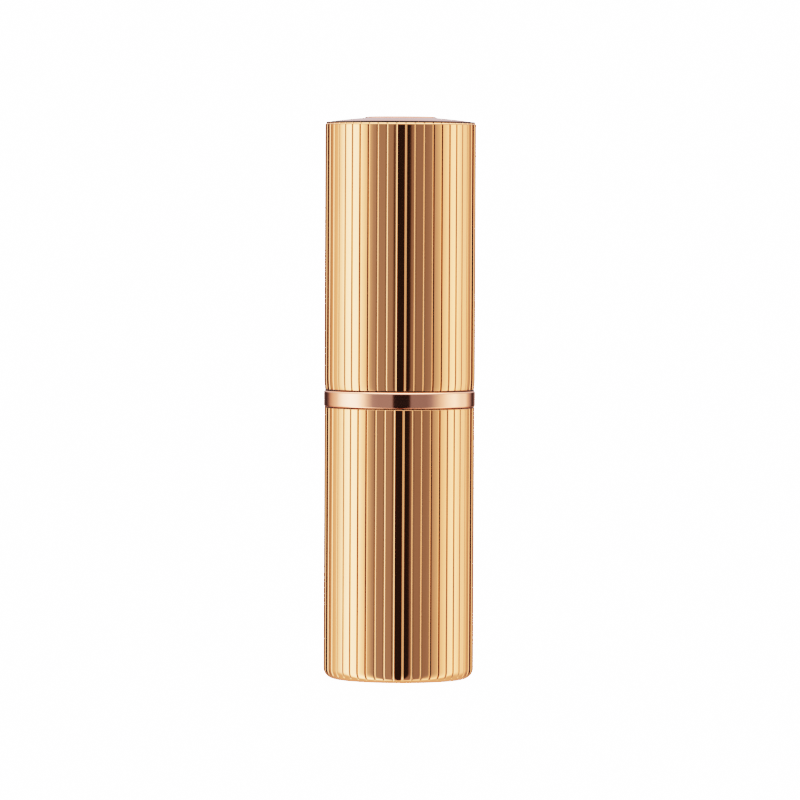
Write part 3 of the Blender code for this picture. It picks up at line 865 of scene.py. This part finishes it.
plate_seat = plate_foot + SPIGOT_LENGTH
plate_peak = plate_top + DOME_RADIUS - sqrt(DOME_RADIUS**2 - BED_RADIUS**2)
dome_edge = PLATE_RADIUS - FINE_EDGE
dome = [dome_edge + (BED_RADIUS - dome_edge) * step / DOME_STEPS for step in range(1, DOME_STEPS)]
bm = outline(
    [
        (0.0, plate_foot, 0.0),
        (LINER_RADIUS, plate_foot, 0.15 * MM),
        (LINER_RADIUS, plate_seat, 0.0),
        (PLATE_RADIUS, plate_seat, 0.0),
        (PLATE_RADIUS, dome_height(PLATE_RADIUS), FINE_EDGE),
        *[(radius, dome_height(radius), 0.0) for radius in dome],
        (BED_RADIUS, plate_top, FINE_EDGE),
        (BED_RADIUS, disc_foot - BED_GAP, 0.0),
        (0.0, disc_foot - BED_GAP, 0.0),
    ]
)
spun(bm, MIRROR_STEPS)
finish_piece("domed_plate", bm, "cap", "cap_top_plate", copper)

# %% Dark seam round the plate
SEAM_RADIUS = 10.15 * MM
SEAM_RISE = 0.06 * MM
# Two pieces that only seem to touch stand this far apart or this deep in one another.
LAP = 0.01 * MM
seam_top = plate_seat + SEAM_RISE
bm = outline(
    [
        (LINER_RADIUS + 2 * LAP, wall_top + LAP, 0.0),
        (SEAM_RADIUS, wall_top - LAP, 0.0),
        (SEAM_RADIUS, seam_top, 0.03 * MM),
        (PLATE_RADIUS - 5 * LAP, seam_top, 0.0),
        (PLATE_RADIUS + LAP / 2, plate_seat - LAP, 0.0),
        (LINER_RADIUS + 2 * LAP, plate_seat - LAP, 0.0),
    ]
)
finish_piece("plate_seam", spun(bm), "cap", None, black)

# %% [markdown]
# The disc is turned, not stamped: its edge slopes up from the dome to a low ring, and inside the ring its
# face is very slightly dished, so that it never mirrors one flat patch of the room. It carries no mark.

# %% Centre disc
SLOPE_WIDTH = 0.5 * MM
SLOPE_HEIGHT = 0.1 * MM
RING_WIDTH = 0.4 * MM
RING_FALL = 0.3 * MM
DISH_EDGE = 0.04 * MM
DISH_MIDDLE = 0.06 * MM
ring_outside = DISC_RADIUS - SLOPE_WIDTH
ring_inside = ring_outside - RING_WIDTH
bm = outline(
    [
        (0.0, disc_foot, 0.0),
        (DISC_RADIUS, disc_foot, 0.04 * MM),
        (DISC_RADIUS, disc_top - SLOPE_HEIGHT, 0.03 * MM),
        (ring_outside, disc_top, 0.2 * MM),
        (ring_inside, disc_top, 0.15 * MM),
        (ring_inside - RING_FALL, disc_top - DISH_EDGE, 0.1 * MM),
        (0.0, disc_top - DISH_MIDDLE, 0.0),
    ]
)
finish_piece("centre_disc", spun(bm), "cap", "cap_top_disc", rose)

# %% [markdown]
# ## Cap lining
#
# Inside the metal cap sits a black moulded lining. Six upright ribs stand a tenth of a millimetre proud
# of its bore and give the cap its grip on the sleeve. One rib is a bevelled block, and a spin with
# duplicates sets out the other five. At its mouth the lining turns out into a thin rim that covers the
# cut edge of the metal, and that rim is the fine dark line between cap and band.

# %% Lining
RIB_COUNT = 6
RIB_PROUD = 0.12 * MM
RIB_WIDTH = 0.9 * MM
RIM_RADIUS = 10.2 * MM
JOINT_GAP = 0.03 * MM
ROOF_THICKNESS = 1.0 * MM
liner_roof = liner_top - ROOF_THICKNESS
rim_foot = band_top + JOINT_GAP
bm = spun(
    outline(
        [
            (0.0, liner_roof, 0.0),
            (LINER_BORE, liner_roof, 0.5 * MM),
            (LINER_BORE, rim_foot, 0.2 * MM),
            (RIM_RADIUS, rim_foot, 0.03 * MM),
            (RIM_RADIUS, cap_foot - LAP, 0.03 * MM),
            (LINER_RADIUS, cap_foot - LAP, 0.0),
            (LINER_RADIUS, liner_top, 0.15 * MM),
            (0.0, liner_top, 0.0),
        ]
    )
)
print("lining is", round((liner_top - rim_foot) / MM, 2), "mm long")

# %% Grip ribs
RIB_END_GAP = 0.25 * MM
RIB_ROOT = 0.3 * MM
RIB_EDGE = 0.1 * MM
rib_foot = liner_foot + RIB_END_GAP
rib_top = sleeve_top - RIB_END_GAP
rib_depth = RIB_PROUD + RIB_ROOT
middle = Matrix.Translation((LINER_BORE - RIB_PROUD + rib_depth / 2, 0.0, (rib_foot + rib_top) / 2))
block = Matrix.Diagonal((rib_depth, RIB_WIDTH, rib_top - rib_foot, 1.0))
ribs = bmesh.new()
bmesh.ops.create_cube(ribs, size=1.0, matrix=middle @ block)
inner = [edge for edge in ribs.edges if all(point.co.x < LINER_BORE for point in edge.verts)]
bmesh.ops.bevel(
    ribs,
    geom=inner,
    offset=RIB_EDGE,
    offset_type="OFFSET",
    affect="EDGES",
    segments=3,
    profile=0.5,
    material=-1,
)
bmesh.ops.spin(
    ribs,
    geom=ribs.verts[:] + ribs.edges[:] + ribs.faces[:],
    cent=(0, 0, 0),
    axis=(0, 0, 1),
    angle=tau * (RIB_COUNT - 1) / RIB_COUNT,
    steps=RIB_COUNT - 1,
    use_duplicate=True,
)
add_part(bm, ribs)
finish_piece("ribbed_lining", bm, "cap", "cap_liner", black)

# %% [markdown]
# ## Collar band
#
# A plain mirror band separates base and cap. Both of its edges are rounded, the upper one a little more,
# so each catches its own thin line of light. It is the one smooth ring on the outside, and the place
# where the reflected room can be read best.

# %% Mirror band
BAND_BORE = 8.8 * MM
BAND_WALL = 0.5 * MM
BAND_LEDGE = 0.4 * MM
bm = outline(
    [
        (BAND_RADIUS - BAND_WALL, band_foot, 0.05 * MM),
        (BAND_RADIUS, band_foot, 0.2 * MM),
        (BAND_RADIUS, band_top, 0.26 * MM),
        (BAND_BORE, band_top, 0.05 * MM),
        (BAND_BORE, band_top - BAND_LEDGE, 0.0),
        (BAND_RADIUS - BAND_WALL, band_top - BAND_LEDGE, 0.0),
    ]
)
finish_piece("mirror_band", spun(bm, BAND_STEPS), "twist", "collar_band", rose)

# %% Ring under the band
core_foot, core_top = span("collar_core")
CORE_GAP = 0.1 * MM
CORE_RADIUS = BAND_RADIUS - BAND_WALL - CORE_GAP
bm = outline(
    [
        (BAND_BORE, core_foot, 0.08 * MM),
        (CORE_RADIUS, core_foot, 0.12 * MM),
        (CORE_RADIUS, core_top, 0.12 * MM),
        (BAND_BORE, core_top, 0.08 * MM),
    ]
)
finish_piece("band_core", spun(bm), "twist", "collar_core", black)

# %% [markdown]
# ## Sleeve
#
# With the cap off, the sleeve is what shows: a thin drawn tube, polished, whose rim turns in over the
# plastic tubes inside. Sheet that is rolled over keeps its thickness, so the inside of the roll is
# rounded too.

# %% Polished sleeve
SLEEVE_WALL = 0.35 * MM
bm = outline(
    [
        (SLEEVE_RADIUS - SLEEVE_WALL, sleeve_foot, 0.06 * MM),
        (SLEEVE_RADIUS, sleeve_foot, 0.06 * MM),
        (SLEEVE_RADIUS, sleeve_top, 0.34 * MM),
        (TUBE_BORE, sleeve_top, 0.12 * MM),
        (TUBE_BORE, sleeve_top - SLEEVE_WALL, 0.06 * MM),
        (SLEEVE_RADIUS - SLEEVE_WALL, sleeve_top - SLEEVE_WALL, 0.0),
    ]
)
finish_piece("polished_sleeve", spun(bm, MIRROR_STEPS), "twist", "sleeve", rose)

# %% [markdown]
# ## Slotted inner tube
#
# Two straight slots keep the cup from turning while the spiral tube turns round it. The tube is spun as a
# solid wall with its flange and plug, then four planes score the wall round both slots, the faces inside
# the marks are taken out, and each pair of openings, outside and inside, is bridged with the walls of the
# slot.

# %% Inner tube
tube_foot, tube_top = span("inner_tube")
PLUG_RADIUS = 7.0 * MM
PLUG_LENGTH = 5.0 * MM
PLUG_WALL = 1.1 * MM
FLANGE_RADIUS = 8.7 * MM
FLANGE_THICKNESS = 1.5 * MM
VENT_RADIUS = 1.5 * MM
FLOOR_THICKNESS = 1.0 * MM
# The bed of the drag ring: where it begins and ends above the flange, and how deep it is cut.
RING_BED = (0.25 * MM, 0.75 * MM)
RING_BED_DEPTH = 0.4 * MM
flange_foot = tube_foot + PLUG_LENGTH
flange_top = flange_foot + FLANGE_THICKNESS
tube_floor = flange_top + FLOOR_THICKNESS
bed_foot, bed_top = (flange_top + height for height in RING_BED)
bm = spun(
    outline(
        [
            (PLUG_RADIUS - PLUG_WALL, tube_foot, 0.15 * MM),
            (PLUG_RADIUS, tube_foot, 0.3 * MM),
            (PLUG_RADIUS, flange_foot, 0.0),
            (FLANGE_RADIUS, flange_foot, 0.1 * MM),
            (FLANGE_RADIUS, flange_top, 0.1 * MM),
            (TUBE_RADIUS, flange_top, 0.0),
            (TUBE_RADIUS, bed_foot, 0.0),
            (TUBE_RADIUS - RING_BED_DEPTH, bed_foot, 0.0),
            (TUBE_RADIUS - RING_BED_DEPTH, bed_top, 0.0),
            (TUBE_RADIUS, bed_top, 0.0),
            (TUBE_RADIUS, tube_top, 0.12 * MM),
            (TUBE_BORE, tube_top, 0.12 * MM),
            (TUBE_BORE, tube_floor, 0.25 * MM),
            (VENT_RADIUS, tube_floor, 0.1 * MM),
            (VENT_RADIUS, flange_top, 0.1 * MM),
            (PLUG_RADIUS - PLUG_WALL, flange_top, 0.3 * MM),
        ]
    ),
    SMALL_STEPS,
)
print("inner tube is", round((tube_top - tube_foot) / MM, 2), "mm long")

# %% Slots
cup_foot, cup_top = span("carrier_cup")
STROKE = 17.5 * MM
SLOT_HALF = 1.1 * MM
LUG_HEIGHT = 2.0 * MM
slot_foot = cup_foot + LUG_HEIGHT - SLOT_HALF
slot_top = cup_foot + LUG_HEIGHT + STROKE + SLOT_HALF
for place, across in (
    ((0, -SLOT_HALF, 0), (0, 1, 0)),
    ((0, SLOT_HALF, 0), (0, 1, 0)),
    ((0, 0, slot_foot), (0, 0, 1)),
    ((0, 0, slot_top), (0, 0, 1)),
):
    whole = bm.verts[:] + bm.edges[:] + bm.faces[:]
    bmesh.ops.bisect_plane(bm, geom=whole, plane_co=place, plane_no=across)


def in_slot(face):
    """Whether a face of the wall lies inside a slot."""
    centre = face.calc_center_median()
    on_wall = centre.xy.length > TUBE_BORE - 0.1 * MM
    return on_wall and abs(centre.y) < SLOT_HALF and slot_foot < centre.z < slot_top


bmesh.ops.delete(bm, geom=[face for face in bm.faces if in_slot(face)], context="FACES")
for side in (-1, 1):
    rims = [edge for edge in bm.edges if edge.is_boundary and edge.verts[0].co.x * side > 0]
    bmesh.ops.bridge_loops(bm, edges=rims)
bmesh.ops.recalc_face_normals(bm, faces=bm.faces)
print("open edges left:", sum(edge.is_boundary for edge in bm.edges))
finish_piece("slotted_tube", bm, "base", "inner_tube", natural)

# %% [markdown]
# ## Drag ring
#
# A soft ring in a groove of the inner tube rubs on the spiral tube, and that is the smooth resistance
# felt when the case is twisted. A ring is a small circle swept round a large one, and here the small
# circle comes from `create_circle`, turned upright and moved out to the groove.

# %% Silicone drag ring
ring_low, ring_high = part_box("friction_ring")
ring_half = (ring_high[2] - ring_low[2]) / 2
bm = bmesh.new()
upright = Matrix.Rotation(radians(90), 4, "X")
out = Matrix.Translation((ring_high[0] - ring_half, 0.0, ring_low[2] + ring_half))
bmesh.ops.create_circle(bm, segments=16, radius=ring_half, matrix=out @ upright)
finish_piece("drag_ring", spun(bm, SMALL_STEPS), "base", "friction_ring", rubber)

# %% [markdown]
# ## Base insert and weight
#
# The insert is glued into the base and holds the plug of the inner tube. Its own rim lies over the edge
# of the base and draws the dark line below the band. Below it lies the slug that makes a light case feel
# solid in the hand, with a drill point in each face from the lathe's centre.

# %% Base insert
insert_foot = span("base_insert")[0]
INSERT_RADIUS = 9.57 * MM
INSERT_BORE = 8.85 * MM
SOCKET_BORE = 7.1 * MM
SOCKET_WALL = 0.85 * MM
SHELF_THICKNESS = 1.0 * MM
GLUE_GAP = 0.15 * MM
shelf_top = flange_foot - GLUE_GAP
shelf_foot = shelf_top - SHELF_THICKNESS
socket_foot = tube_foot - GLUE_GAP
bm = outline(
    [
        (INSERT_BORE, insert_foot, 0.1 * MM),
        (INSERT_RADIUS, insert_foot, 0.3 * MM),
        (INSERT_RADIUS, base_top + LAP, 0.0),
        (RIM_RADIUS, base_top + LAP, 0.03 * MM),
        (RIM_RADIUS, band_foot - JOINT_GAP, 0.03 * MM),
        (INSERT_BORE, band_foot - JOINT_GAP, 0.08 * MM),
        (INSERT_BORE, shelf_top, 0.1 * MM),
        (SOCKET_BORE, shelf_top, 0.15 * MM),
        (SOCKET_BORE, socket_foot, 0.1 * MM),
        (SOCKET_BORE + SOCKET_WALL, socket_foot, 0.15 * MM),
        (SOCKET_BORE + SOCKET_WALL, shelf_foot, 0.2 * MM),
        (INSERT_BORE, shelf_foot, 0.2 * MM),
    ]
)
finish_piece("moulded_insert", spun(bm), "base", "base_insert", black)

# %% Foot weight
weight_foot, weight_top = span("base_weight")
DRILL_RADIUS = 1.0 * MM
DRILL_DEPTH = 0.9 * MM
bm = outline(
    [
        (0.0, weight_foot + DRILL_DEPTH, 0.0),
        (DRILL_RADIUS, weight_foot, 0.0),
        (INSERT_RADIUS, weight_foot, 0.4 * MM),
        (INSERT_RADIUS, weight_top, 0.4 * MM),
        (DRILL_RADIUS, weight_top, 0.0),
        (0.0, weight_top - DRILL_DEPTH, 0.0),
    ]
)
finish_piece("turned_weight", spun(bm), "base", "base_weight", steel)

# %% Blank label
label_foot, label_top = span("bottom_label")
LABEL_RADIUS = 7.25 * MM
bm = outline(
    [
        (0.0, label_foot, 0.0),
        (LABEL_RADIUS, label_foot, 0.04 * MM),
        (LABEL_RADIUS, label_top, 0.0),
        (0.0, label_top, 0.0),
    ]
)
finish_piece("foot_label", spun(bm), "base", "bottom_label", film)

# %% [markdown]
# ## Cup and lugs
#
# The cup carries the lipstick. Two round lugs near its foot reach through the slots into the spiral
# grooves. In a real cup low ribs bite into the wax so that it cannot be pulled out. The wax hides them,
# so they are left out.

# %% Carrier cup
CUP_FLOOR = 0.8 * MM
LUG_RADIUS = 0.9 * MM
LUG_TIP = 7.75 * MM
LUG_ROOT = CUP_RADIUS - 0.2 * MM
LUG_EDGE = 0.12 * MM
bm = spun(
    outline(
        [
            (VENT_RADIUS, cup_foot, 0.1 * MM),
            (CUP_RADIUS, cup_foot, 0.25 * MM),
            (CUP_RADIUS, cup_top, 0.12 * MM),
            (CUP_BORE, cup_top, 0.1 * MM),
            (CUP_BORE, cup_foot + CUP_FLOOR, 0.2 * MM),
            (VENT_RADIUS, cup_foot + CUP_FLOOR, 0.1 * MM),
        ]
    ),
    SMALL_STEPS,
)
print("cup is", round((cup_top - cup_foot) / MM, 2), "mm tall")

# %% Lugs
reach = Matrix.Translation(((LUG_ROOT + LUG_TIP) / 2, 0.0, cup_foot + LUG_HEIGHT))
for turn in (0.0, pi):
    lug = bmesh.new()
    bmesh.ops.create_cone(
        lug,
        cap_ends=True,
        segments=32,
        radius1=LUG_RADIUS,
        radius2=LUG_RADIUS,
        depth=LUG_TIP - LUG_ROOT,
        matrix=Matrix.Rotation(turn, 4, "Z") @ reach @ Matrix.Rotation(radians(90), 4, "Y"),
    )
    tip = {point for point in lug.verts if point.co.xy.length > LUG_TIP - LAP}
    bmesh.ops.bevel(
        lug,
        geom=[edge for edge in lug.edges if tip.issuperset(edge.verts)],
        offset=LUG_EDGE,
        offset_type="OFFSET",
        affect="EDGES",
        segments=3,
        profile=0.5,
        material=-1,
    )
    add_part(bm, lug)
finish_piece("lugged_cup", bm, "carrier", "carrier_cup", natural)

# %% [markdown]
# ## Lipstick
#
# A lipstick is cast tip down in a mould with a rounded end, and the slanted face is part of that mould,
# so it meets the sides in a soft edge. The stick is spun with a rounded end, one plane takes off the
# slant and the cut is closed, and bevelling the rim of the cut gives the soft edge.

# %% Slanted bullet
bullet_foot, bullet_tip = span("lipstick_bullet")
TIP_SLANT = radians(50)
TIP_CROWN = 2.4 * MM
RIDGE = BULLET_RADIUS - 1.2 * MM
SLANT_EDGE = 0.3 * MM
CROWN_STEPS = 14
shoulder = bullet_tip - TIP_CROWN * sqrt(1 - (RIDGE / BULLET_RADIUS) ** 2)
crown = [radians(90) * step / CROWN_STEPS for step in range(CROWN_STEPS)]
bm = spun(
    outline(
        [
            (0.0, bullet_foot, 0.0),
            (BULLET_RADIUS, bullet_foot, 0.3 * MM),
            *[(BULLET_RADIUS * cos(turn), shoulder + TIP_CROWN * sin(turn), 0.0) for turn in crown],
            (0.0, shoulder + TIP_CROWN, 0.0),
        ]
    )
)
slope = Vector((0.0, -sin(TIP_SLANT), cos(TIP_SLANT)))
cut = bmesh.ops.bisect_plane(
    bm,
    geom=bm.verts[:] + bm.edges[:] + bm.faces[:],
    plane_co=(0.0, RIDGE, bullet_tip),
    plane_no=slope,
    clear_outer=True,
)
rim = [item for item in cut["geom_cut"] if isinstance(item, bmesh.types.BMEdge)]
bmesh.ops.contextual_create(bm, geom=rim)
bmesh.ops.recalc_face_normals(bm, faces=bm.faces)
slant = max(bm.faces, key=lambda face: face.calc_area())
bmesh.ops.bevel(
    bm,
    geom=list(slant.edges),
    offset=SLANT_EDGE,
    offset_type="OFFSET",
    affect="EDGES",
    segments=4,
    profile=0.5,
    material=-1,
    clamp_overlap=True,
)
finish_piece("slanted_bullet", bm, "carrier", "lipstick_bullet", wax)

# %% [markdown]
# ## Spiral tube
#
# The spiral tube is the one plain piece that stays: it is always hidden between the sleeve and the inner
# tube, and its shape is already right. It only gets the finish of the other natural mouldings.

# %% Finish of the spiral tube
for material_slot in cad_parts["spiral_tube"].material_slots:
    material_slot.material = natural
